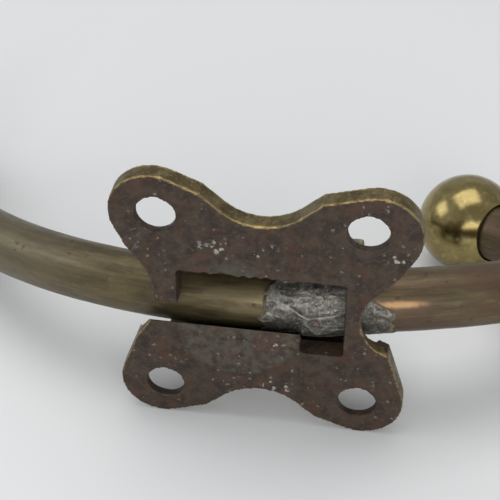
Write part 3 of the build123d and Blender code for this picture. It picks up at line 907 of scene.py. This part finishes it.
ballSettings = {
    "socketRadius": 4.95,
    "lip": 0.35,
    "lipDrop": [(0.02, 0.18), (-0.05, 0.04), (-0.3, 0.0)],  # along the axis, out from the socket
    "flats": 0.10,
    "flatSize": 5.0,
    "poleRadius": 0.02,
    "rows": 90,
    "around": 112,
}
r, socket, pole = armSettings["ballRadius"], ballSettings["socketRadius"], ballSettings["poleRadius"]
meet = np.arcsin((socket + ballSettings["lip"]) / r)
sweepAngle = np.linspace(pi, meet, ballSettings["rows"])
ballProfile = np.stack([r * np.cos(sweepAngle), r * np.sin(sweepAngle)], 1)[1:]
lipCurve = ballSettings["lipDrop"] + np.array([ballProfile[-1, 0], socket])
seat = [[armSettings["seatGap"], socket], [armSettings["seatGap"], pole]]
ballProfile = np.concatenate([[[-r, pole]], ballProfile, lipCurve, seat])


def ballDress(alongAxis, around, radiusHere):
    # slight flats, always inward
    across, upright = radiusHere * np.cos(around), radiusHere * np.sin(around)
    place = np.stack(np.broadcast_arrays(alongAxis, across, upright), -1).reshape(-1, 3)
    sunk = ballSettings["flats"] * roughSum(place, ballSettings["flatSize"], 61).reshape(radiusHere.shape)
    return radiusHere * (1 - sunk / armSettings["ballRadius"])


ballMesh = turned("ballFinial", ballCentre, -neckDirection, ballProfile, ballSettings["around"], ballDress)
ball = meshObject("ballFinial", ballMesh)
ball.data.materials.append(ballBrass)
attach(ball, "arm")
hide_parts("ball_finial")
print("arm built")


linerSettings = {
    "inner": 4.78,
    "skin": 0.10,
    "most": 5.48,
    "angles": (-80.0, 84.0),
    "left": (-0.35, 0.9),  # where it starts along the bar, low side and high side
    "right": (18.6, 13.2),
    "ragged": (1.5, 2.6),  # how far the left and right ends wander
    "rows": 200,
    "columns": 240,
    "around": 5.0,  # mm round the bar for one radian, near enough for the noise
    "warp": (3.0, 2.4),  # size and reach of the noise that bends the ridges
    "rise": {"swell": 0.14, "ridge": 0.15, "crumple": 0.07, "fold": 0.16, "crease": -0.10},
    # shade weights paint light and shade into the colour: ridges and fold lighter, the crease darker
    "shade": {"ridge": 0.45, "crumple": 0.2, "fold": 0.25, "crease": -0.45},
    "creaseTurn": (4.2, 6.4),  # the crease starts down, then back up, at these lengths
    "creaseEnds": (3.4, 4.4, 10.2, 11.6),
    "foldWidth": 0.38,
    "creaseWidth": 0.16,
    "bulge": (7.8, 2.6, 0.35),  # length along the bar, half width, rise
    "thin": (12.5, 15.5, 0.10),  # from, to, drop
    "rimWidths": (0.55, 0.9),  # of the shape and of the brassy rim
}


def linerCrumple(place):
    # rises of the crumpled skin at (length along, length round) places: warped ridges, small crumples,
    # and one fold above a crease that runs down and then back up
    s = linerSettings
    u, v = place[:, 0], place[:, 1]
    warpSize, warpReach = s["warp"]
    warp = np.stack([roughSum(place, warpSize, 91), roughSum(place, warpSize, 97), 0 * u], -1)
    bent = place + warpReach * (warp - 0.5)
    ridge = 1 - np.abs(2 * roughSum(bent * [0.6, 1.0, 1], 2.2, 101, 2) - 1)
    crumple = (1 - np.abs(2 * lumps(bent, 1.1, 113) - 1)) ** 2
    down, up = s["creaseTurn"]
    creaseLine = 0.9 - 0.63 * np.clip(u - down, 0, up - down) + 0.192 * np.clip(u - up, 0, 4)
    off = v - creaseLine + 0.5 * (warp[:, 0] - 0.5)
    a, b, c, d = s["creaseEnds"]
    within = smoothStep(a, b, u) * (1 - smoothStep(c, d, u))
    return {
        "swell": roughSum(place, 2.6, 121),
        "ridge": smoothStep(0.62, 1.0, ridge),
        "crumple": crumple,
        "fold": within * np.exp(-(((off + 0.45) / s["foldWidth"]) ** 2)),
        "crease": within * np.exp(-((off / s["creaseWidth"]) ** 2)),
    }


def linerSurface():
    # a half shell on the bar: its radius plus a skin and its crumples, thinned to nothing at a ragged rim
    s = linerSettings
    turnAngle = np.radians(np.linspace(*s["angles"], s["columns"]))
    share = np.linspace(0, 1, s["rows"])
    high = smoothStep(-0.3, 0.9, turnAngle)
    wander = np.stack([turnAngle * 5, turnAngle * 0, turnAngle * 0], -1)
    raggedLeft, raggedRight = s["ragged"]
    start = s["left"][0] + (s["left"][1] - s["left"][0]) * high
    start = start + raggedLeft * (roughSum(wander, 1.6, 71) - 0.5)
    end = s["right"][0] + (s["right"][1] - s["right"][0]) * high
    end = end + raggedRight * (roughSum(wander, 1.8, 83) - 0.5)
    lengthAt = start[None] + (end - start)[None] * share[:, None]
    angleAt = np.repeat(turnAngle[None], s["rows"], 0)
    place = np.stack([lengthAt, s["around"] * angleAt, 0 * angleAt], -1).reshape(-1, 3)
    rises = linerCrumple(place)
    raised = s["skin"] + sum(s["rise"][name] * values for name, values in rises.items())
    u, v = place[:, 0], place[:, 1]
    bulgeAt, bulgeWidth, bulgeRise = s["bulge"]
    lowBulge = np.exp(-(((u - bulgeAt) / bulgeWidth) ** 2)) * (1 - smoothStep(-4.6, -2.4, v))
    thinFrom, thinTo, thinDrop = s["thin"]
    raised = raised + bulgeRise * lowBulge - thinDrop * smoothStep(thinFrom, thinTo, u)
    across = np.minimum(share[:, None] * (end - start)[None], (1 - share[:, None]) * (end - start)[None])
    sides = s["around"] * np.minimum(angleAt - turnAngle[0], turnAngle[-1] - angleAt)
    rim = np.minimum(across, sides).reshape(-1)
    shapeRim, brassyRim = s["rimWidths"]
    raised = raised * smoothStep(0, shapeRim, rim) + 0.02
    outer = np.minimum(s["inner"] + raised, s["most"])
    shade = 0.3 + sum(s["shade"][name] * rises[name] for name in s["shade"])
    rimShade = 1 - smoothStep(0, brassyRim, rim)
    return lengthAt, angleAt, outer.reshape(angleAt.shape), np.clip(shade, 0, 1), rimShade


def onBar(lengthAt, angleAt, radiusAt):
    # places on the curved bar from length along it, angle from outward toward up, and radius
    heading = lengthAt / arcRadius
    x, y = arcRadius * np.sin(heading), arcRadius * (1 - np.cos(heading))
    out = np.sin(heading)[..., None] * along - np.cos(heading)[..., None] * inward
    middle = axisPoint + x[..., None] * along + y[..., None] * inward
    direction = np.cos(angleAt)[..., None] * out + np.sin(angleAt)[..., None] * upFromArm
    return middle + radiusAt[..., None] * direction


def shellMesh(name, outer, inner):
    # two matching grids joined round their borders into one closed shell
    n, m = outer.shape[:2]
    i, j = np.meshgrid(np.arange(n - 1), np.arange(m - 1), indexing="ij")
    face = np.stack([i * m + j, i * m + j + 1, (i + 1) * m + j + 1, (i + 1) * m + j], -1).reshape(-1, 4)
    border = np.concatenate([np.arange(m), np.arange(1, n) * m + m - 1,
                             (n - 1) * m + np.arange(m - 2, -1, -1), np.arange(n - 2, 0, -1) * m])
    following = np.roll(border, -1)
    sides = np.stack([border, border + n * m, following + n * m, following], -1)
    quads = np.concatenate([face, face[:, ::-1] + n * m, sides])
    return meshFromArrays(name, np.concatenate([outer.reshape(-1, 3), inner.reshape(-1, 3)]), quads)


lengthAt, angleAt, outerRadius, ridgeAndCreaseShade, rimShare = linerSurface()
innerRadius = np.full_like(outerRadius, linerSettings["inner"])
linerMesh = shellMesh("crumpledLiner", onBar(lengthAt, angleAt, outerRadius),
                      onBar(lengthAt, angleAt, innerRadius))
# painted shade and highlight of the crumples, stored as the fold attribute
storeScalar(linerMesh, "fold", np.concatenate([ridgeAndCreaseShade, ridgeAndCreaseShade]))
storeScalar(linerMesh, "rim", np.concatenate([rimShare, rimShare]))
liner = meshObject("crumpledLiner", linerMesh)
liner.data.materials.append(whiteMetal)
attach(liner, "liner")
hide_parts("liner_shoe")
print("liner built:", len(linerMesh.polygons), "faces")


def lightRelief(swell, grain, seed):
    # inward swells and grain of the given depths, mm
    def relief(points, normals):
        depth = swell * roughSum(points, 3.5, seed) + grain * roughSum(points, 0.8, seed + 7)
        return -normals * depth[:, None]
    return relief


castPieces = [
    # CAD node, piece name, voxel mm, passes, swell mm, grain mm, material, body, slot
    ("thumb_head", "flutedThumbHead", 0.17, 4, 0.05, 0.02, headBrass, "thumbscrew", "plain_brass"),
    ("eye_end", "armEye", 0.19, 4, 0.05, 0.02, plainBrass, "arm", "plain_brass"),
    ("sash_bracket", "sashPlate", 0.24, 4, 0.07, 0.03, wornBrass, "sash", "worn_brass"),
]
for node, name, voxel, passes, swell, grain, material, body, slotName in castPieces:
    piece = castCopy(node, name, voxel, passes, lightRelief(swell, grain, len(name)))
    piece.data.materials.append(material)
    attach(piece, body)
    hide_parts(node)
    print(name, len(piece.data.polygons), "faces")

carriedOver = {
    "clamp_pad": plainBrass, "clamp_screw": plainBrass, "head_pin": plainBrass, "finial_stud": plainBrass,
    "eye_rivet": plainBrass, "eye_bush": bronze, "pivot_pin": plainBrass, "rivet_washer": plainBrass,
    "upper_washer": plainBrass, "lower_washer": plainBrass,
}
for node, material in carriedOver.items():
    holder = frame["nodes"][node]
    if not holder.material_slots:
        holder.data.materials.append(material)
    for slot in holder.material_slots:
        slot.material = material
print("clamp, eye and sash bracket built")


floorSettings = {
    "height": -22.2,
    "half": 3000.0,
    "colour": (0.70, 0.71, 0.72),
    "lighter": 1.02,
    "cloudSize": 160.0,
    "roughness": 0.42,
    "specular": 0.35,
}


def makeFloor():
    s = floorSettings
    material, tree, shader, place = newMaterial("paleFloor")
    cloud = spread(tree, noise(tree, place, s["cloudSize"], 2), 0.3, 0.7)
    colour = blendColour(tree, cloud, s["colour"], tuple(c * s["lighter"] for c in s["colour"]))
    wire(tree, colour, shader.inputs["Base Color"])
    shader.inputs["Roughness"].default_value = s["roughness"]
    shader.inputs["Specular IOR Level"].default_value = s["specular"]
    signs = [(-1, -1), (1, -1), (1, 1), (-1, 1)]
    corners = [(x * s["half"] * mm, y * s["half"] * mm, s["height"] * mm) for x, y in signs]
    mesh = bpy.data.meshes.new("floor")
    mesh.from_pydata(corners, [], [(0, 1, 2, 3)])
    mesh.materials.append(material)
    floor = bpy.data.objects.new("floor", mesh)
    bpy.context.scene.collection.objects.link(floor)


makeFloor()
print("floor placed")
